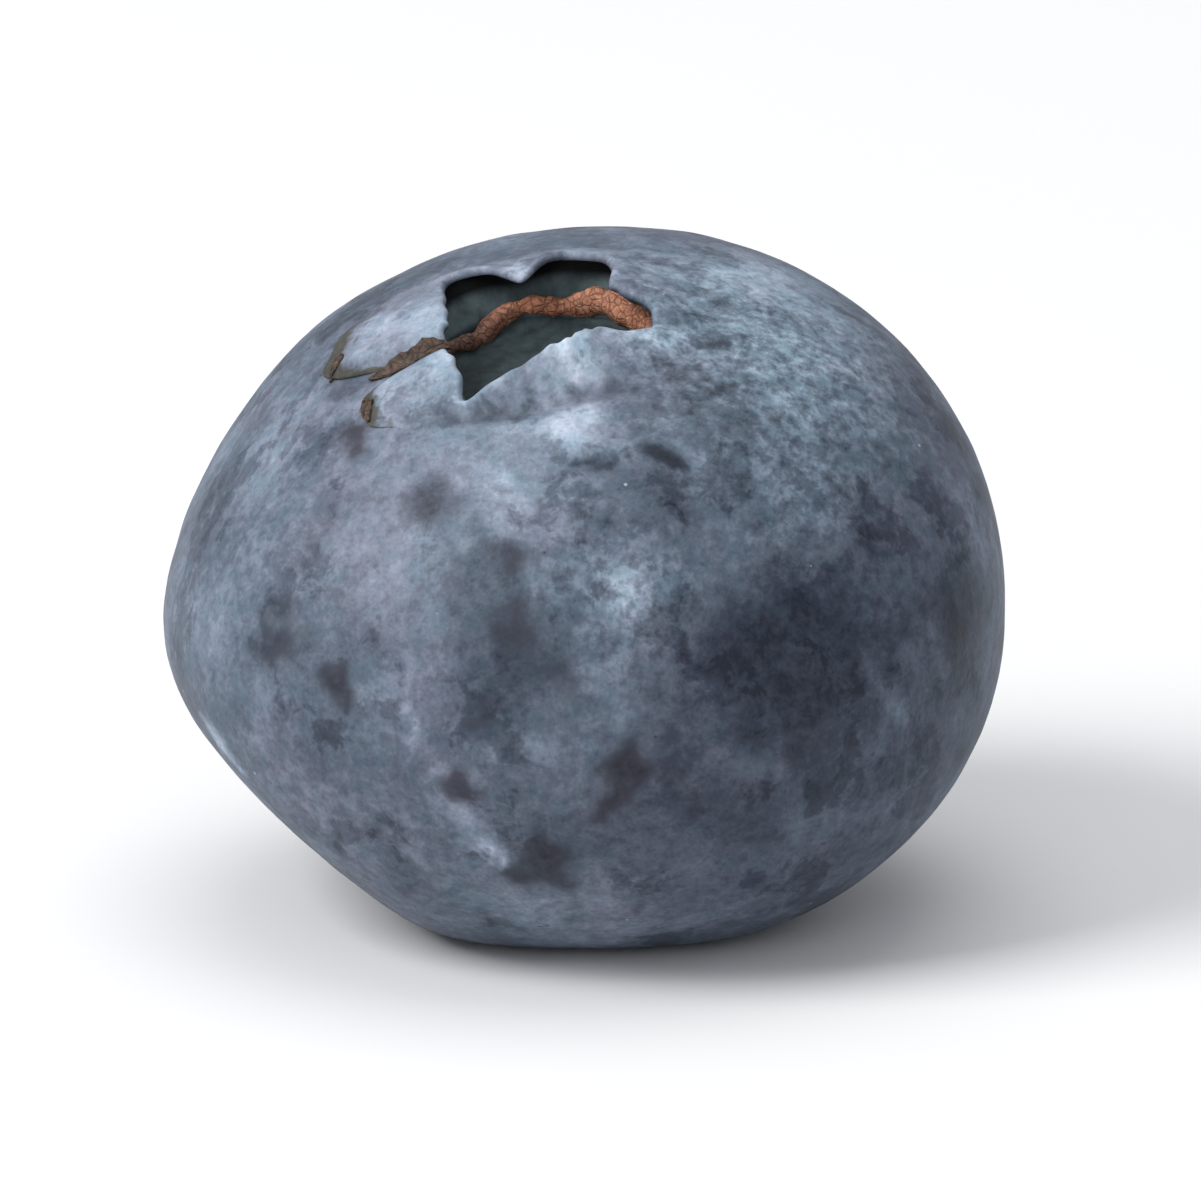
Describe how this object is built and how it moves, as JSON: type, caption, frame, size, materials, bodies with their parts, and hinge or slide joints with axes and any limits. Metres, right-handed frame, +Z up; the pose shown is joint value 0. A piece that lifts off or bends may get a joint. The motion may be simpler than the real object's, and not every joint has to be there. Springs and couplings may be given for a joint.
{
  "type": "blueberry",
  "caption": "Ripe blueberry with a waxy bloom, an open five-lobed crown round a shallow ringed crater and a small stem scar, lying on a small flat spot.",
  "frame": {"origin": "middle of the bounding box's underside, on the surface that the berry rests on", "axes": "+Z up from that surface; the crown points up and leans about 21 degrees, mostly towards -Y"},
  "size_m": [0.016, 0.0152, 0.0126],
  "materials": {
    "skin": "dark blue skin under a patchy pale waxy bloom"
  },
  "bodies": {
    "root": {"blueberry": "skin"}
  },
  "joints": []
}
